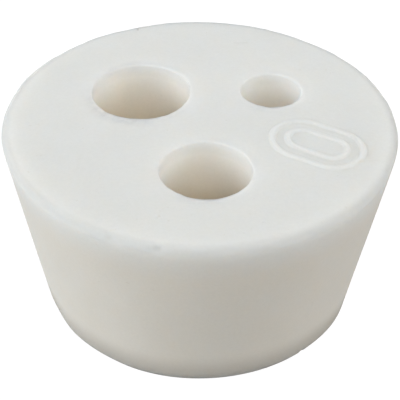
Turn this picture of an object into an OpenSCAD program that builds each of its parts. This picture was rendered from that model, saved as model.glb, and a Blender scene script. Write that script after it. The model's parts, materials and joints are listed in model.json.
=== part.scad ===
// Three-hole rubber stopper: a tapered plug for a flask neck, moulded in one
// piece, with three bores of different size for glass tubing and probes.
// The small end stands on Z = 0 and the medium bore lies on the -Y side.

/* [Plug] */
// Diameter of the large end, at its theoretical sharp corner
top_d = 50; // [47:0.5:56]
// Diameter of the small end, at its theoretical sharp corner
bottom_d = 42; // [40:0.5:46]
// Height from the small end to the large end
height = 25.4; // [20:0.2:40]
// Radius of the rounded edge round the large end
top_edge_r = 0.8; // [0.2:0.1:1.5]
// Radius of the rounded edge round the small end
bottom_edge_r = 0.6; // [0.2:0.1:1.5]

/* [Large bore] */
// Diameter of the large bore
large_bore_d = 12.7; // [9:0.1:14]
// Distance of the large bore from the plug's axis
large_bore_offset = 9.9; // [9.5:0.1:11]
// Direction of the large bore, in degrees from +X
large_bore_angle = 138.2; // [130:0.1:146]

/* [Medium bore] */
// Diameter of the medium bore
medium_bore_d = 11.1; // [8:0.1:13]
// Distance of the medium bore from the plug's axis
medium_bore_offset = 10.5; // [9.5:0.1:11.5]
// Direction of the medium bore, in degrees from +X
medium_bore_angle = -90; // [-98:0.1:-82]

/* [Small bore] */
// Diameter of the small bore
small_bore_d = 7.9; // [5:0.1:10]
// Distance of the small bore from the plug's axis
small_bore_offset = 11.4; // [10:0.1:13]
// Direction of the small bore, in degrees from +X
small_bore_angle = 32.2; // [25:0.1:40]

/* [Bore mouths] */
// Radius of the rounded lip at both mouths of every bore
mouth_r = 0.3; // [0.1:0.1:0.6]

/* [Hidden] */
$fn = 128;
// How far a cutter reaches past the face it opens
cut_past = 1;
// How far a rounding circle stands through the faces it blends, so that it crosses them cleanly
blend_cross = 0.001;

top_r = top_d / 2;
bottom_r = bottom_d / 2;
// Lean of the side wall away from the vertical
taper_angle = atan2(top_r - bottom_r, height);
// Inside angle of the solid at each end's corner
top_corner = 90 - taper_angle;
bottom_corner = 90 + taper_angle;
// Depth of each rounding circle's centre below the faces it blends
top_depth = top_edge_r - blend_cross;
bottom_depth = bottom_edge_r - blend_cross;
mouth_depth = mouth_r - blend_cross;
// Distance from each sharp corner to where its rounded edge begins
top_setback = top_depth / tan(top_corner / 2);
bottom_setback = bottom_depth / tan(bottom_corner / 2);

// Outline of the tapered wall between two rounded edges
module wall_section() {
    polygon([
        [0, 0],
        [bottom_r - bottom_setback, 0],
        [bottom_r + bottom_setback * sin(taper_angle), bottom_setback * cos(taper_angle)],
        [top_r - top_setback * sin(taper_angle), height - top_setback * cos(taper_angle)],
        [top_r - top_setback, height],
        [0, height]
    ]);
    translate([bottom_r - bottom_setback, bottom_depth]) circle(r = bottom_edge_r);
    translate([top_r - top_setback, height - top_depth]) circle(r = top_edge_r);
}

// The whole plug, trimmed flat at both ends
module plug() {
    rotate_extrude() intersection() {
        square([top_r, height]);
        wall_section();
    }
}

// Half section of the ring that rounds a bore's upper mouth
module mouth_section(bore_r) {
    difference() {
        translate([bore_r - cut_past, height - mouth_r]) square([cut_past + mouth_r, mouth_r + cut_past]);
        translate([bore_r + mouth_depth, height - mouth_depth]) circle(r = mouth_r);
    }
}

// What a bore takes out of the plug: a straight hole with a rounded lip at each end
module bore(diameter, offset_from_axis, angle) {
    rotate([0, 0, angle]) translate([offset_from_axis, 0, 0]) {
        translate([0, 0, -cut_past]) cylinder(h = height + 2 * cut_past, d = diameter);
        rotate_extrude() mouth_section(diameter / 2);
        translate([0, 0, height]) mirror([0, 0, 1]) rotate_extrude() mouth_section(diameter / 2);
    }
}

module stopper() {
    color([0.87, 0.87, 0.85]) difference() {
        plug();
        bore(large_bore_d, large_bore_offset, large_bore_angle);
        bore(medium_bore_d, medium_bore_offset, medium_bore_angle);
        bore(small_bore_d, small_bore_offset, small_bore_angle);
    }
}

stopper();
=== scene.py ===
"""Looks of the three-hole rubber stopper: one moulded piece of off-white rubber on a pale studio floor."""
import json
import math
from typing import NamedTuple

import bpy
import numpy as np
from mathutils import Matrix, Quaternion, Vector, noise
from mathutils.bvhtree import BVHTree
from mathutils.geometry import delaunay_2d_cdt


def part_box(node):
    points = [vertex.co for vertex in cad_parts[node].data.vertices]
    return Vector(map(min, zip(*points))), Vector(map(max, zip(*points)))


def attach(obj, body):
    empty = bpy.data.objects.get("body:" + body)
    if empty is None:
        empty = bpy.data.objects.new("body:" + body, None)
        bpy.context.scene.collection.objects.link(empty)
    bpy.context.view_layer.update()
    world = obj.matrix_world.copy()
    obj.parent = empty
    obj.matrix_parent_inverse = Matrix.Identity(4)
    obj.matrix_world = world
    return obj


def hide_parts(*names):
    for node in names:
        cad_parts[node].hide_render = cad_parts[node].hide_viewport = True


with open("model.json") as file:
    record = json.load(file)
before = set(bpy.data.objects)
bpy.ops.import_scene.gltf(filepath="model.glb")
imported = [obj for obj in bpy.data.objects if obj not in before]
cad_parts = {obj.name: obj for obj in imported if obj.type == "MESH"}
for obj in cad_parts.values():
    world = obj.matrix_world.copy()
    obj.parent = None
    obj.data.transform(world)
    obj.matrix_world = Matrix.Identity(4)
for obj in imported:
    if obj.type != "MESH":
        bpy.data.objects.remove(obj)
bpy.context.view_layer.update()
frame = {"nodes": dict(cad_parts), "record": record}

NODE = "stopper"
MM = 0.001
QUARTER = math.pi / 2

# ---------------------------------------------------------------- sizes, read from the frame

LOW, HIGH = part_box(NODE)
HEIGHT = HIGH.z - LOW.z


def cad_tree():
    """A search tree over the CAD solid's surface."""
    mesh = frame["nodes"][NODE].data
    return BVHTree.FromPolygons([v.co for v in mesh.vertices], [tuple(p.vertices) for p in mesh.polygons])


def wall_radius(tree, height):
    """Radius of the solid's outer wall at a height, found by looking in from the side."""
    outside = 2 * HIGH.x
    hit, *_ = tree.ray_cast(Vector((outside, 0, height)), Vector((-1, 0, 0)))
    return math.hypot(hit.x, hit.y)


def flat_radius(height):
    """Radius of the flat part of the end face at a height."""
    vertices = frame["nodes"][NODE].data.vertices
    return max(math.hypot(v.co.x, v.co.y) for v in vertices if abs(v.co.z - height) < 0.01 * MM)


TREE = cad_tree()
WALL_SLOPE = (wall_radius(TREE, 0.75 * HEIGHT) - wall_radius(TREE, 0.25 * HEIGHT)) / (0.5 * HEIGHT)
TAPER = math.atan(WALL_SLOPE)
BOTTOM_R = wall_radius(TREE, 0.25 * HEIGHT) - 0.25 * HEIGHT * WALL_SLOPE
TOP_R = BOTTOM_R + HEIGHT * WALL_SLOPE
TOP_FLAT_R = flat_radius(HIGH.z)
BOTTOM_FLAT_R = flat_radius(LOW.z)
TOP_EDGE = (TOP_R - TOP_FLAT_R) * math.tan((QUARTER - TAPER) / 2)
BOTTOM_EDGE = (BOTTOM_R - BOTTOM_FLAT_R) * math.tan((QUARTER + TAPER) / 2)
BORES = {m["name"]: m for m in frame["record"]["mounts"] if m["kind"] == "bore"}
MOUTH = (HEIGHT - next(iter(BORES.values()))["dims"]["length_mm"] * MM) / 2

# ---------------------------------------------------------------- camera

# The photograph's camera, fitted to the outline and the front rim. Azimuth 0 looks along +Y.
CAMERA_AIM = Vector((0.1 * MM, 0, 0.477 * HEIGHT))
CAMERA_AZIMUTH = math.radians(-4.05)
CAMERA_ELEVATION = math.radians(39.38)
CAMERA_ROLL = math.radians(0.95)
CAMERA_DISTANCE = 141.3 * MM
LENS_MM = 94.7


def add_camera():
    """The camera at the photograph's viewing angle, aimed at the middle of the stopper."""
    data = bpy.data.cameras.new("camera")
    data.lens = LENS_MM
    data.clip_start = 10 * MM
    camera = bpy.data.objects.new("camera", data)
    bpy.context.scene.collection.objects.link(camera)
    back = Vector((
        math.sin(CAMERA_AZIMUTH) * math.cos(CAMERA_ELEVATION),
        -math.cos(CAMERA_AZIMUTH) * math.cos(CAMERA_ELEVATION),
        math.sin(CAMERA_ELEVATION),
    ))
    camera.location = CAMERA_AIM + CAMERA_DISTANCE * back
    camera.rotation_mode = "QUATERNION"
    camera.rotation_quaternion = (-back).to_track_quat("-Z", "Y") @ Quaternion((0, 0, 1), CAMERA_ROLL)
    bpy.context.scene.camera = camera


# ---------------------------------------------------------------- marks of moulding and wear

# Azimuths are measured round the plug's axis from +X, so that the back is at 90 degrees.


def at(radius_mm, azimuth_deg):
    """A place on an end face, given by its distance from the axis and its azimuth."""
    a = math.radians(azimuth_deg)
    return Vector((radius_mm * MM * math.cos(a), radius_mm * MM * math.sin(a)))


class RimMark(NamedTuple):
    """A hollow in the rim of one end: where it is, how far it reaches over the faces, and how deep it is."""

    end: float
    azimuth: float
    half_length: float
    reach: float
    depth: float


RIM_MARKS = {
    "dent": RimMark(HIGH.z, math.radians(-104.2), 0.90 * MM, 1.2 * MM, 0.32 * MM),
    "small_dent": RimMark(HIGH.z, math.radians(-117.5), 0.60 * MM, 1.0 * MM, 0.15 * MM),
    "chip": RimMark(LOW.z, math.radians(-54.0), 0.50 * MM, 0.9 * MM, 0.12 * MM),
}.values()
# Pits in the large end, each small and shallow
PITS = (at(22.3, -81), at(21.1, -74), at(18.6, -86), at(19.9, -107.5), at(18.6, -107.5), at(17.8, -56.7))
PIT_R = 0.25 * MM
PIT_DEPTH = 0.05 * MM
# Scratches in the large end: start, end, half width, depth, strength of the dirt in them
SCRATCHES = (
    (at(23.6, 108.6), at(24.3, 108.0), 0.25 * MM, 0.12 * MM, 0.12),
    (at(19.2, 72.4), at(19.8, 67.3), 0.16 * MM, 0.06 * MM, 0.12),
    (at(20.9, -28.0), at(22.8, -24.8), 0.18 * MM, 0.04 * MM, 0.04),
    (at(23.9, -118.2), at(23.3, -117.2), 0.15 * MM, 0.06 * MM, 0.05),
    (at(24.1, -109.8), at(23.6, -108.4), 0.15 * MM, 0.06 * MM, 0.05),
    (at(15.7, -158.4), at(18.3, -146.7), 0.30 * MM, 0.015 * MM, 0.02),
)
# The plain double oval in relief on the large end
MARK_CENTRE = at(15.2, -22.8)
MARK_TURN = math.radians(-33)
MARK_LENGTH = 11.5 * MM
MARK_WIDTH = 7.6 * MM
MARK_RIDGE = 1.0 * MM
MARK_FLANK = 0.3 * MM
MARK_HEIGHT = 0.26 * MM
MARK_INSET = 1.9 * MM
# A hairline that the mould's flash left in part of one mouth's lip, and how strong the painted shade in it
# is
FLASH_BORE = "large_bore"
FLASH_FROM = math.radians(-15)
FLASH_TO = math.radians(62)
FLASH_DEPTH = 0.07 * MM
FLASH_REACH = 0.6 * MOUTH
FLASH_SHADE = 0.6
# Unevenness of the whole piece: size of its swells and how far they stand out
SWELLS = ((14 * MM, 0.060 * MM), (4 * MM, 0.012 * MM), (1.2 * MM, 0.003 * MM))
# Ragged edges: size of the swells along the large end's rim and the bores' upper mouths, how far they
# stand out, and how far they reach from the rim and from the mouths
RAGGED = ((3.0 * MM, 0.10 * MM), (1.0 * MM, 0.05 * MM))
RAGGED_RIM = 1.2 * MM
RAGGED_MOUTH = 0.6 * RAGGED_RIM
# How far the large end's rim and the bores' upper mouths are worn down, and how wide
WORN_RIM = (0.05 * MM, 1.6 * MM)
WORN_MOUTH = (0.10 * MM, 0.9 * MM)
# The side of the mouths that is worn most, and its half angle
WORN_SIDE = (math.radians(90), math.radians(150))
# The side of the mouths whose lip is crisp, its half angle, and the share of its rounding that is filled up
CRISP_SIDE = (math.radians(-90), math.radians(130), 0.9)
# Places where the wall is out of round: azimuth, half angle, whether it is most at the large end or at
# the small end, and how far it stands out there
OUT_OF_ROUND = (
    (math.radians(172), math.radians(26), True, 0.15 * MM),
    (math.radians(149), math.radians(14), True, 0.29 * MM),
    (math.radians(110), math.radians(14), True, -0.14 * MM),
    (math.radians(48), math.radians(20), True, -0.14 * MM),
    (math.radians(-25), math.radians(10), True, -0.09 * MM),
    (math.radians(-162), math.radians(12), True, -0.06 * MM),
    (math.radians(-157), math.radians(13), False, -0.17 * MM),
    (math.radians(-128), math.radians(14), False, -0.07 * MM),
    (math.radians(-36), math.radians(16), False, 0.14 * MM),
)
# Share of the radius within which the piece stays round
ROUND_WITHIN = 0.85


def bump(share):
    """A smooth rise from 0 at share 1 to 1 at share 0."""
    return np.clip(1 - share * share, 0, None) ** 2


def stroke_distance(x, y, start, end):
    """Distance from points on an end face to a straight stroke."""
    run = end - start
    along = np.clip(((x - start.x) * run.x + (y - start.y) * run.y) / run.length_squared, 0, 1)
    return np.hypot(x - start.x - along * run.x, y - start.y - along * run.y)


def mark_relief(x, y):
    """Height of the moulded mark over the large end."""
    dx, dy = x - MARK_CENTRE.x, y - MARK_CENTRE.y
    along = np.abs(dx * math.cos(MARK_TURN) + dy * math.sin(MARK_TURN))
    across = dy * math.cos(MARK_TURN) - dx * math.sin(MARK_TURN)
    straight = (MARK_LENGTH - MARK_WIDTH) / 2
    from_core = np.hypot(np.maximum(along - straight, 0), across)
    lines = [np.abs(from_core - MARK_WIDTH / 2 + inset) for inset in (0, MARK_INSET)]
    beyond_flat = np.maximum(np.minimum(*lines) - MARK_RIDGE / 2 + MARK_FLANK, 0)
    return MARK_HEIGHT * bump(beyond_flat / MARK_FLANK)


def turned(points, azimuth, centre=(0, 0)):
    """Angle of each point round an upright axis, counted from an azimuth, between -pi and pi."""
    turn = np.arctan2(points[:, 1] - centre[1], points[:, 0] - centre[0]) - azimuth
    return np.arctan2(np.sin(turn), np.cos(turn))


def rim_radius(end):
    """Radius of the sharp corner at the end that lies at a height."""
    return TOP_R if end == HIGH.z else BOTTOM_R


def from_rim(points, end):
    """Distance of each point from the rim at one end."""
    return np.hypot(np.hypot(points[:, 0], points[:, 1]) - rim_radius(end), points[:, 2] - end)


def from_mouth(points, name):
    """Distance of each point from a bore's wall, and from its upper mouth."""
    bore = BORES[name]
    axis_x, axis_y = bore["pos_m"][:2]
    wall = np.hypot(points[:, 0] - axis_x, points[:, 1] - axis_y) - bore["dims"]["r_mm"] * MM
    return wall, np.hypot(wall, points[:, 2] - HIGH.z)


def rim_mark(points, mark):
    """Share of a rim mark's depth at each point: 1 at its middle on the rim, 0 away from it."""
    along = rim_radius(mark.end) * turned(points, mark.azimuth)
    return bump(along / mark.half_length) * bump(from_rim(points, mark.end) / mark.reach)


def flash_line(points):
    """Share of the flash line's depth at each point, along part of the middle of a mouth's rounded lip."""
    middle, half = (FLASH_FROM + FLASH_TO) / 2, (FLASH_TO - FLASH_FROM) / 2
    turn = turned(points, middle, BORES[FLASH_BORE]["pos_m"])
    wall, _ = from_mouth(points, FLASH_BORE)
    away = np.hypot(wall - 0.5 * MOUTH, points[:, 2] - HIGH.z + 0.1 * MOUTH)
    return bump(turn / half) * bump(away / FLASH_REACH)


def edge_share(points):
    """How near each point is to the large end's rim or a bore's upper mouth: 1 on it, 0 away from it."""
    share = bump(from_rim(points, HIGH.z) / RAGGED_RIM)
    for name in BORES:
        share = np.maximum(share, bump(from_mouth(points, name)[1] / RAGGED_MOUTH))
    return share


def edge_wear(points):
    """How deep the large end's rim and the bores' upper mouths are worn down at each point."""
    worn, reach = WORN_RIM
    depth = worn * bump(from_rim(points, HIGH.z) / reach)
    worn, reach = WORN_MOUTH
    middle, half_angle = WORN_SIDE
    for name, bore in BORES.items():
        side = bump(turned(points, middle, bore["pos_m"]) / half_angle)
        depth += worn * side * bump(from_mouth(points, name)[1] / reach)
    return depth


def crisp_lips(points, normals):
    """How far the rounding of the bores' upper mouths is filled up towards a sharp lip at each point."""
    steepest = np.maximum(np.abs(normals[:, 2]), np.hypot(normals[:, 0], normals[:, 1]))
    middle, half_angle, share = CRISP_SIDE
    filled = np.zeros(len(points))
    for name, bore in BORES.items():
        on_lip = from_mouth(points, name)[1] < 1.01 * MOUTH
        filled += np.where(on_lip, share * bump(turned(points, middle, bore["pos_m"]) / half_angle), 0)
    return MOUTH * (1 / steepest - 1) * filled


def out_of_round(points):
    """How far each point lies outside the true round form."""
    x, y, z = points.T
    level = (z - LOW.z) / HEIGHT
    wall = BOTTOM_R + (z - LOW.z) * WALL_SLOPE
    share = np.clip((np.hypot(x, y) / wall - ROUND_WITHIN) / (1 - ROUND_WITHIN), 0, 1)
    out = np.zeros(len(points))
    for azimuth, half_angle, at_large_end, amount in OUT_OF_ROUND:
        reach = np.clip(level if at_large_end else 1 - level, 0, 1)
        out += amount * reach * bump(turned(points, azimuth) / half_angle)
    return share * out


# ---------------------------------------------------------------- the moulded piece

# Columns round the plug and round each bore
AROUND_PLUG = 600
AROUND_BORE = 200
# Rings on each rounded edge, on the side wall, on each rounded mouth and down each bore
EDGE_STEPS = 8
WALL_STEPS = 40
MOUTH_STEPS = 6
BORE_STEPS = 30
# Spacing of the points on the large end: away from its marks, near the relief, and at the smallest marks
COARSE = 0.45 * MM
FINE = 0.15 * MM
FINEST = 0.08 * MM
# Columns nearer to each other than this on the large end's rim are joined
SLIVER = 0.4 * FINEST
# How far the close columns reach past a rim mark, as a multiple of its length
CLOSE_PAST = 1.2
# Points inside an end face stay this far from its edge and from the bores' mouths
CLEAR = 0.12 * MM


def arc(centre_r, centre_z, radius, start, end, steps):
    """Points of a round stretch in a half section, as (radius from the axis, height)."""
    angles = np.linspace(start, end, steps + 1)
    return [(centre_r + radius * math.cos(a), centre_z + radius * math.sin(a)) for a in angles]


def eased(steps):
    """Shares of a way in that many steps, without its ends and closer together near them."""
    return [0.5 - 0.5 * math.cos(math.pi * i / steps) for i in range(1, steps)]


def plug_section():
    """Half section of the plug's outside, from the small end's flat to the large end's flat."""
    lower = arc(BOTTOM_FLAT_R, LOW.z + BOTTOM_EDGE, BOTTOM_EDGE, -QUARTER, -TAPER, EDGE_STEPS)
    upper = arc(TOP_FLAT_R, HIGH.z - TOP_EDGE, TOP_EDGE, -TAPER, QUARTER, EDGE_STEPS)
    (r0, z0), (r1, z1) = lower[-1], upper[0]
    return lower + [(r0 + (r1 - r0) * s, z0 + (z1 - z0) * s) for s in eased(WALL_STEPS)] + upper


def bore_section(radius):
    """Half section of a bore, from its lower mouth to its upper mouth, with close rings near the mouths."""
    lower = arc(radius + MOUTH, LOW.z + MOUTH, MOUTH, -QUARTER, -2 * QUARTER, MOUTH_STEPS)
    upper = arc(radius + MOUTH, HIGH.z - MOUTH, MOUTH, 2 * QUARTER, QUARTER, MOUTH_STEPS)
    return lower + [(radius, LOW.z + MOUTH + (HEIGHT - 2 * MOUTH) * s) for s in eased(BORE_STEPS)] + upper


def plug_turns():
    """Azimuths of the plug's columns: even all round, with close ones at the rim marks and no slivers."""
    turns = {round(2 * math.pi * i / AROUND_PLUG, 6) for i in range(AROUND_PLUG)}
    for mark in RIM_MARKS:
        half_turn = CLOSE_PAST * mark.half_length / TOP_R
        steps = math.ceil(2 * CLOSE_PAST * mark.half_length / FINEST)
        close = (mark.azimuth + half_turn * (2 * i / steps - 1) for i in range(steps + 1))
        turns |= {round(turn % (2 * math.pi), 6) for turn in close}
    kept = []
    for turn in sorted(turns):
        if not kept or turn - kept[-1] > SLIVER / TOP_R:
            kept.append(turn)
    return kept


class Skin:
    """Collects the vertices and faces of the one closed mesh."""

    def __init__(self):
        self.points = []
        self.faces = []

    def revolve(self, section, centre, turns, inward=False):
        """Rings of a half section turned about an upright axis. Returns the first and the last ring."""
        count = len(turns)
        rings = []
        for r, z in section:
            rings.append(range(len(self.points), len(self.points) + count))
            self.points += [(centre[0] + r * math.cos(t), centre[1] + r * math.sin(t), z) for t in turns]
        for low, high in zip(rings, rings[1:]):
            for i in range(count):
                j = (i + 1) % count
                face = (low[i], low[j], high[j], high[i])
                self.faces.append(face[::-1] if inward else face)
        return rings[0], rings[-1]

    def cap(self, outer, inner, height, inside, upward):
        """Flat end face between the outer ring and the bores' rings, with the given points inside it."""
        loops = [outer, *inner]
        index = [i for loop in loops for i in loop]
        loop_of = [k for k, loop in enumerate(loops) for _ in loop]
        flat = [Vector(self.points[i][:2]) for i in index]
        edges = []
        start = 0
        for loop in loops:
            count = len(loop)
            edges += [(start + i, start + (i + 1) % count) for i in range(count)]
            start += count
        flat += [Vector(p) for p in inside]
        made, _, triangles, origin, _, _ = delaunay_2d_cdt(flat, edges, [], 1, 1e-9)
        place, loop_at = [], []
        for point, source in zip(made, origin):
            on_loop = bool(source) and source[0] < len(index)
            loop_at.append(loop_of[source[0]] if on_loop else None)
            place.append(index[source[0]] if on_loop else len(self.points))
            if not on_loop:
                self.points.append((point.x, point.y, height))
        for triangle in triangles:
            touched = {loop_at[i] for i in triangle}
            in_bore = len(touched) == 1 and touched.isdisjoint({None, 0})
            if in_bore:
                continue
            corners = [place[i] for i in triangle]
            a, b, c = (made[i] for i in triangle)
            if ((b - a).cross(c - a) > 0) != upward:
                corners.reverse()
            self.faces.append(tuple(corners))


def fine_zones():
    """Round zones of the large end that need close points: (centre, radius, spacing)."""
    zones = [(MARK_CENTRE, MARK_LENGTH / 2 + MARK_RIDGE, FINE)]
    zones += [(pit, 2 * PIT_R, FINEST) for pit in PITS]
    for start, end, half_width, *_ in SCRATCHES:
        spacing = FINEST if half_width < 1.5 * FINE else FINE
        zones.append(((start + end) / 2, (end - start).length / 2 + 3 * half_width, spacing))
    for mark in RIM_MARKS:
        if mark.end == HIGH.z:
            zones.append((at(TOP_FLAT_R / MM, math.degrees(mark.azimuth)), mark.reach, FINEST))
    return zones


def grid(centre, radius, spacing):
    """Points of a triangular grid inside a circle."""
    row = spacing * math.sqrt(3) / 2
    reach = int(radius / row) + 1
    steps = range(-reach, reach + 1)
    points = (Vector((spacing * (i + 0.5 * (j % 2)), row * j)) for j in steps for i in steps)
    return [centre + p for p in points if p.length < radius]


def clear_of_bores(point):
    """True if a point lies well outside every bore's mouth."""
    return all(
        math.hypot(point.x - m["pos_m"][0], point.y - m["pos_m"][1]) > m["dims"]["r_mm"] * MM + MOUTH + CLEAR
        for m in BORES.values()
    )


def end_points(flat_r, spacing, zones=()):
    """Points inside an end face: a wide grid, and closer ones in the fine zones."""
    points = []
    for k, (centre, radius, step) in enumerate([*zones, (Vector((0, 0)), flat_r, spacing)]):
        for p in grid(centre, radius, step):
            free = all((p - c).length > r + 0.5 * step for c, r, _ in zones[:k])
            if free and p.length < flat_r - CLEAR and clear_of_bores(p):
                points.append(p)
    return points


def build_skin():
    """The stopper as one closed mesh in the CAD solid's form."""
    skin = Skin()
    bottom_ring, top_ring = skin.revolve(plug_section(), (0, 0), plug_turns())
    turns = [2 * math.pi * i / AROUND_BORE for i in range(AROUND_BORE)]
    bottoms, tops = [], []
    for m in BORES.values():
        low, high = skin.revolve(bore_section(m["dims"]["r_mm"] * MM), m["pos_m"], turns, inward=True)
        bottoms.append(low)
        tops.append(high)
    skin.cap(top_ring, tops, HIGH.z, end_points(TOP_FLAT_R, COARSE, fine_zones()), True)
    skin.cap(bottom_ring, bottoms, LOW.z, end_points(BOTTOM_FLAT_R, 2 * COARSE), False)
    mesh = bpy.data.meshes.new("moulded_stopper")
    mesh.from_pydata(skin.points, [], skin.faces)
    mesh.shade_smooth()
    return mesh


def swell(point, sizes):
    """How far an uneven skin stands out at a point."""
    return sum(height * noise.noise(Vector(point) / size) for size, height in sizes)


def shape_skin(mesh):
    """Adds the relief, the unevenness and the wear to the mesh, and marks where its colour changes."""
    count = len(mesh.vertices)
    points, normals = np.empty(3 * count), np.empty(3 * count)
    mesh.vertices.foreach_get("co", points)
    mesh.vertices.foreach_get("normal", normals)
    points, normals = points.reshape(count, 3), normals.reshape(count, 3)
    x, y, z = points.T
    on_top = np.abs(z - HIGH.z) < 0.01 * MM
    depth = edge_wear(points) - crisp_lips(points, normals)
    for mark in RIM_MARKS:
        depth += mark.depth * rim_mark(points, mark)
    for pit in PITS:
        depth += np.where(on_top, PIT_DEPTH * bump(np.hypot(x - pit.x, y - pit.y) / PIT_R), 0)
    for start, end, half_width, deep, _ in SCRATCHES:
        depth += np.where(on_top, deep * bump(stroke_distance(x, y, start, end) / half_width), 0)
    depth += FLASH_DEPTH * flash_line(points)
    depth -= np.where(on_top, mark_relief(x, y), 0)
    depth -= np.array([swell(p, SWELLS) for p in points])
    edges = edge_share(points)
    near = np.flatnonzero(edges)
    depth[near] -= edges[near] * np.array([swell(points[i], RAGGED) for i in near])
    for name, share in colour_shares(points).items():
        mesh.attributes.new(name, "FLOAT", "POINT").data.foreach_set("value", share)
    radial = points * (1, 1, 0) / np.maximum(np.hypot(x, y), MM)[:, None]
    moved = points - depth[:, None] * normals + out_of_round(points)[:, None] * radial
    moved[:, 2] = np.maximum(moved[:, 2], LOW.z)
    mesh.vertices.foreach_set("co", moved.ravel())
    mesh.update()


# ---------------------------------------------------------------- material

RUBBER = (0.985, 0.975, 0.945)
# How the colour changes over the piece: what each tint multiplies the rubber's colour by. Those of the
# bores, the rim, the foot and the side wall are painted light and shade, chosen to match the photograph's
# tones from its own view.
TINTS = {
    # The rubber outside the bores, darker than the bores' walls, which keep painted light
    "outside": (0.785, 0.80, 0.812),
    # Painted warm shade on the side wall, growing below the large end
    "side_wall_warm_shade": (1.0, 0.95, 0.885),
    # Painted shade on one side of the bores' walls
    "painted_bore_shade": (0.905, 0.91, 0.925),
    # Painted shade, darker and warmer deeper in the bores
    "bore_depth_shade": (0.88, 0.775, 0.61),
    # Painted shade along the large end's rim
    "painted_rim_shade": (0.76, 0.77, 0.78),
    # Painted shade at the foot, next to the floor
    "painted_foot_shade": (0.70, 0.685, 0.675),
    # Grey patches round the large bore, and painted shade in the flash line and in the rim marks
    "grey_patches_and_shade": (0.80, 0.80, 0.82),
    # Dirt in the scratches, and a painted brownish shade line along the back of the rim
    "dirt_and_rim_shade": (0.50, 0.42, 0.33),
}
# The tints that come in patches, and the patches: size, detail, noise levels, strength between them
PATCHY = ("grey_patches_and_shade",)
PATCHES = (1.1 * MM, 4, (0.40, 0.62), 0.4)
# Clouds and flecks all over the rubber: size, detail, noise levels between which they grow, tint
CLOUDS = (
    (9 * MM, 3, (0.3, 0.7), (0.975, 0.98, 0.985)),
    (5 * MM, 2, (0.3, 0.7), (1.0, 0.992, 0.975)),
    (0.35 * MM, 2, (0.3, 0.7), (0.975, 0.975, 0.975)),
    (0.8 * MM, 2, (0.72, 0.78), (0.95, 0.94, 0.92)),
)
# The skin's unevenness in the light: size and height of its bumps, and how much of them shows
SKIN_BUMPS = ((0.25 * MM, 0.02 * MM), (1.5 * MM, 0.08 * MM))
SKIN_STRENGTH = 0.5
SMOOTHEST, ROUGHEST = 0.62, 0.80
# Greyish patches round the large bore's mouth: direction, half angle, reach, strength
GREY_PATCHES = (
    (math.radians(-125), math.radians(70), 2.2 * MM, 1.0),
    (math.radians(120), math.radians(45), 1.2 * MM, 0.8),
    (math.radians(-60), math.radians(40), 1.4 * MM, 0.5),
)
# How far the painted light of the bores, their rubber kept lighter than the outside, reaches over the large
# end on the crisp side of the mouths, the half angle of that stretch, and the depth at which the bores'
# other walls are as light
BORE_LIGHT_LIP = 0.8 * MM
BORE_LIGHT_HALF_ANGLE = math.radians(95)
BORE_LIGHT_DEPTH = 2.0 * MM
# The side of the bores with painted shade on their walls: its middle, its half angle, and its reach over the
# large end
BORE_SHADE_SIDE = (math.radians(47), math.radians(100), 1.5 * MM)
# How far the painted shade along the large end's rim reaches, and how far its middle lies inside the sharp
# corner
RIM_SHADE_REACH = 1.3 * MM
RIM_SHADE_INWARD = 0.15 * MM
# How far the painted shade at the foot, next to the floor, reaches
FOOT_SHADE_REACH = 5.4 * MM
# Depth below the large end at which the side wall has its full painted warm shade
WALL_SHADE_DEPTH = 6 * MM
# Depth in a bore at which its painted warm shade is at its full strength
BORE_SHADE_DEPTH = 12 * MM
# A painted brownish shade line along the back of the rim: middle, half angle, reach
RIM_SHADE_LINE = (math.radians(92), math.radians(60), 0.7 * MM)
RIM_SHADE_LINE_STRENGTH = 0.35
# How strong the painted shade in the rim marks is
RIM_MARK_SHADE = 0.15


def bore_shares(points):
    """How far each point lies in a bore, how much painted light it gets, and how far it is in the painted
    shade of the bores' one side.
    """
    below = HIGH.z - points[:, 2]
    inside, painted_bore_light, back = np.zeros(len(points)), np.zeros(len(points)), np.zeros(len(points))
    dark_middle, dark_half_angle, dark_reach = BORE_SHADE_SIDE
    for name, bore in BORES.items():
        wall, mouth = from_mouth(points, name)
        within = np.clip(1 - wall / MOUTH, 0, 1)
        near_side = bump(turned(points, CRISP_SIDE[0], bore["pos_m"]) / BORE_LIGHT_HALF_ANGLE)
        dark_side = bump(turned(points, dark_middle, bore["pos_m"]) / dark_half_angle)
        inside = np.maximum(inside, within)
        painted_bore_light = np.maximum(painted_bore_light, within * np.clip(below / BORE_LIGHT_DEPTH, 0, 1))
        painted_bore_light = np.maximum(painted_bore_light, near_side * np.clip(1 - wall / BORE_LIGHT_LIP, 0, 1))
        back = np.maximum(back, dark_side * np.maximum(within, bump(mouth / dark_reach)))
    return inside, painted_bore_light, back


def grey_patches_and_shade_share(points):
    """How strong the grey patches and the painted shade in the flash line and the rim marks are at each
    point.
    """
    _, mouth = from_mouth(points, FLASH_BORE)
    grey_patches_and_shade = FLASH_SHADE * flash_line(points)
    for azimuth, half_angle, reach, strength in GREY_PATCHES:
        turn = turned(points, azimuth, BORES[FLASH_BORE]["pos_m"])
        grey_patches_and_shade = np.maximum(grey_patches_and_shade, strength * bump(turn / half_angle) * bump(mouth / reach))
    for mark in RIM_MARKS:
        grey_patches_and_shade = np.maximum(grey_patches_and_shade, RIM_MARK_SHADE * rim_mark(points, mark))
    return grey_patches_and_shade


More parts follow.
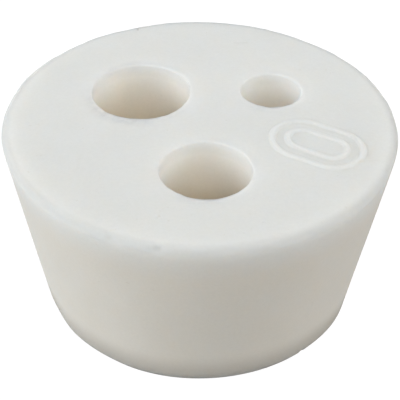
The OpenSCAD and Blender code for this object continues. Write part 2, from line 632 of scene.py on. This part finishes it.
def dirt_and_rim_shade_share(points):
    """How strong the painted shade line on the back of the rim and the dirt in the scratches are at each
    point.
    """
    middle, half_angle, reach = RIM_SHADE_LINE
    line = bump(turned(points, middle) / half_angle) * bump(from_rim(points, HIGH.z) / reach)
    dirt_and_rim_shade = RIM_SHADE_LINE_STRENGTH * line
    for start, end, half_width, _, dirt in SCRATCHES:
        near = dirt * bump(stroke_distance(points[:, 0], points[:, 1], start, end) / half_width)
        dirt_and_rim_shade = np.where(points[:, 2] > HIGH.z - TOP_EDGE, np.maximum(dirt_and_rim_shade, near), dirt_and_rim_shade)
    return dirt_and_rim_shade


def colour_shares(points):
    """For each tint, its share at each point."""
    below = HIGH.z - points[:, 2]
    deep_share = np.clip(below / BORE_SHADE_DEPTH, 0, 1)
    inside, painted_bore_light, back = bore_shares(points)
    shaded_rim = np.hypot(np.hypot(points[:, 0], points[:, 1]) - TOP_R + RIM_SHADE_INWARD, below)
    return {
        "outside": 1 - painted_bore_light,
        "side_wall_warm_shade": (1 - inside) * (1 - bump(np.minimum(below / WALL_SHADE_DEPTH, 1))),
        "painted_bore_shade": back,
        "bore_depth_shade": inside * deep_share * deep_share * (3 - 2 * deep_share),
        "painted_rim_shade": bump(shaded_rim / RIM_SHADE_REACH),
        "painted_foot_shade": bump(from_rim(points, LOW.z) / FOOT_SHADE_REACH),
        "grey_patches_and_shade": grey_patches_and_shade_share(points),
        "dirt_and_rim_shade": dirt_and_rim_shade_share(points),
    }


class Nodes:
    """Short ways to build a node tree."""

    def __init__(self, tree):
        self.tree = tree

    def add(self, kind, inputs=(), **settings):
        """A node with its settings, and with its inputs set or linked by name."""
        node = self.tree.nodes.new(kind)
        for name, value in settings.items():
            setattr(node, name, value)
        for name, value in dict(inputs).items():
            if isinstance(value, bpy.types.NodeSocket):
                self.tree.links.new(value, node.inputs[name])
            else:
                node.inputs[name].default_value = value
        return node

    def wave(self, where, size, detail):
        """A noise whose features have a size."""
        inputs = {"Vector": where, "Scale": 1 / size, "Detail": detail}
        return self.add("ShaderNodeTexNoise", inputs).outputs["Fac"]

    def mapped(self, value, start, end, low, high):
        """A value that runs from low to high while another one runs from start to end."""
        inputs = {"Value": value, "From Min": start, "From Max": end, "To Min": low, "To Max": high}
        return self.add("ShaderNodeMapRange", inputs).outputs["Result"]

    def math(self, operation, a, b):
        """One calculation with two values."""
        return self.add("ShaderNodeMath", {0: a, 1: b}, operation=operation).outputs[0]

    def tint(self, colour, share, by):
        """A colour multiplied by another one, as far as its share goes."""
        mix = self.add("ShaderNodeMix", data_type="RGBA", blend_type="MULTIPLY")
        for socket, value in zip((mix.inputs[0], mix.inputs[6], mix.inputs[7]), (share, colour, by)):
            if isinstance(value, bpy.types.NodeSocket):
                self.tree.links.new(value, socket)
            elif isinstance(value, tuple):
                socket.default_value = (*value, 1)
            else:
                socket.default_value = value
        return mix.outputs[2]


def rubber_colour(kit, where):
    """The rubber's colour: off-white, softly clouded, and tinted by the shares kept with the mesh."""
    colour = RUBBER
    for size, detail, (start, end), by in CLOUDS:
        colour = kit.tint(colour, kit.mapped(kit.wave(where, size, detail), start, end, 0, 1), by)
    size, detail, (start, end), least = PATCHES
    patch = kit.mapped(kit.wave(where, size, detail), start, end, least, 1)
    for name, by in TINTS.items():
        share = kit.add("ShaderNodeAttribute", attribute_name=name).outputs["Fac"]
        if name in PATCHY:
            share = kit.math("MULTIPLY", share, patch)
        colour = kit.tint(colour, share, by)
    return colour


def rubber_skin(kit, where):
    """The fine and the wider unevenness of the rubber's skin."""
    normal = None
    for size, height in SKIN_BUMPS:
        inputs = {"Strength": SKIN_STRENGTH, "Distance": height, "Height": kit.wave(where, size, 3)}
        if normal:
            inputs["Normal"] = normal
        normal = kit.add("ShaderNodeBump", inputs).outputs[0]
    return normal


def rubber_material():
    """Off-white moulded rubber: matt, slightly translucent, a little stained, with painted light and shade
    in its colour.
    """
    material = bpy.data.materials.new("moulded_rubber")
    material.use_nodes = True
    kit = Nodes(material.node_tree)
    where = kit.add("ShaderNodeTexCoord").outputs["Object"]
    shader = material.node_tree.nodes["Principled BSDF"]
    links = material.node_tree.links
    links.new(rubber_colour(kit, where), shader.inputs["Base Color"])
    roughness = kit.mapped(kit.wave(where, 2 * MM, 3), 0.3, 0.7, SMOOTHEST, ROUGHEST)
    links.new(roughness, shader.inputs["Roughness"])
    links.new(rubber_skin(kit, where), shader.inputs["Normal"])
    shader.inputs["IOR"].default_value = 1.4
    shader.inputs["Specular IOR Level"].default_value = 0.06
    shader.inputs["Subsurface Weight"].default_value = 1
    shader.inputs["Subsurface Radius"].default_value = (1.0, 0.90, 0.80)
    shader.inputs["Subsurface Scale"].default_value = 4.0 * MM
    return material


# ---------------------------------------------------------------- floor, background and light

FLOOR_REACH = 3.0
# What the floor gives back of the light that falls on it, to the stopper and to the camera
FLOOR_PALE = (0.35, 0.35, 0.35, 1)
FLOOR_DIM = (0.15, 0.15, 0.15, 1)
# The floor's own brightness for the camera near the stopper, where the light adds to it, and far away
GLOW_NEAR = (0.1, 0.93)
GLOW_FAR = (0.5, 1.0)
# Share of that brightness which is left under the stopper, where the bores end on the floor
SHADE_UNDER = 0.4


def white_to_camera(kit, plain, white):
    """Shows one shader to camera, glossy and transmission rays, and a plain one to all others."""
    rays = kit.add("ShaderNodeLightPath").outputs
    seen = kit.math("MAXIMUM", rays["Is Camera Ray"], rays["Is Glossy Ray"])
    seen = kit.math("MAXIMUM", seen, rays["Is Transmission Ray"])
    return kit.add("ShaderNodeMixShader", {0: seen, 1: plain, 2: white}).outputs[0]


def floor_material():
    """Pale to the light, and nearly white to the camera but for the stopper's shadow."""
    material = bpy.data.materials.new("floor")
    material.use_nodes = True
    material.node_tree.nodes.clear()
    kit = Nodes(material.node_tree)
    place = kit.add("ShaderNodeTexCoord").outputs["Object"]
    away = kit.add("ShaderNodeVectorMath", {0: place}, operation="LENGTH").outputs["Value"]
    (near, near_glow), (far, far_glow) = GLOW_NEAR, GLOW_FAR
    glow = kit.mapped(away, near, far, near_glow, far_glow)
    under = kit.mapped(away, 0.8 * BOTTOM_R, 0.9 * BOTTOM_R, SHADE_UNDER, 1)
    white = kit.add("ShaderNodeEmission", {"Strength": kit.math("MULTIPLY", glow, under)}).outputs[0]
    dim = kit.add("ShaderNodeBsdfDiffuse", {"Color": FLOOR_DIM}).outputs[0]
    both = kit.add("ShaderNodeAddShader", {0: white, 1: dim}).outputs[0]
    pale = kit.add("ShaderNodeBsdfDiffuse", {"Color": FLOOR_PALE}).outputs[0]
    kit.add("ShaderNodeOutputMaterial", {"Surface": white_to_camera(kit, pale, both)})
    return material


def add_floor():
    """A plain pale floor that keeps a faint shadow of the stopper."""
    mesh = bpy.data.meshes.new("floor")
    corners = [(x * FLOOR_REACH, y * FLOOR_REACH, LOW.z) for x, y in ((-1, -1), (1, -1), (1, 1), (-1, 1))]
    mesh.from_pydata(corners, [], [(0, 1, 2, 3)])
    mesh.materials.append(floor_material())
    floor = bpy.data.objects.new("floor", mesh)
    bpy.context.scene.collection.objects.link(floor)


def add_world():
    """A dark surround for the light, seen as plain white by the camera."""
    world = bpy.data.worlds.new("world")
    bpy.context.scene.world = world
    world.use_nodes = True
    world.node_tree.nodes.clear()
    kit = Nodes(world.node_tree)
    dark = kit.add("ShaderNodeBackground", {"Color": (0, 0, 0, 1)}).outputs[0]
    white = kit.add("ShaderNodeBackground", {"Color": (1, 1, 1, 1), "Strength": 1}).outputs[0]
    kit.add("ShaderNodeOutputWorld", {"Surface": white_to_camera(kit, dark, white)})


PANEL_DISTANCE = 1.5
PANEL_SIZE = 1.2
# Soft panels: name, azimuth in degrees (0 in front of the stopper, 90 to its right), elevation in degrees,
# and watts of red, green and blue
PANELS = (
    ("left_low", -80, 20, (17.9, 18.3, 18.4)),
    ("right_low", 80, 20, (11.59, 11.33, 10.95)),
    ("back", 180, 30, (4.69, 5.08, 5.47)),
    ("front_high", 0, 55, (15.62, 15.62, 15.36)),
)


def add_panel(name, azimuth, elevation, watts):
    """A square soft light that faces the stopper."""
    data = bpy.data.lights.new(name, "AREA")
    data.shape = "SQUARE"
    data.size = PANEL_SIZE
    data.energy = max(watts)
    data.color = [w / max(watts) for w in watts]
    light = bpy.data.objects.new(name, data)
    bpy.context.scene.collection.objects.link(light)
    a, e = math.radians(azimuth), math.radians(elevation)
    away = Vector((math.sin(a) * math.cos(e), -math.cos(a) * math.cos(e), math.sin(e)))
    light.location = Vector((0, 0, HEIGHT / 2)) + PANEL_DISTANCE * away
    light.rotation_mode = "QUATERNION"
    light.rotation_quaternion = (-away).to_track_quat("-Z", "Y")


def main():
    """Builds the scene."""
    add_camera()
    mesh = build_skin()
    shape_skin(mesh)
    stopper = bpy.data.objects.new("moulded_stopper", mesh)
    bpy.context.scene.collection.objects.link(stopper)
    mesh.materials.append(rubber_material())
    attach(stopper, "root")
    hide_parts(NODE)
    add_floor()
    add_world()
    for panel in PANELS:
        add_panel(*panel)
    bpy.context.scene.view_settings.view_transform = "Standard"


main()
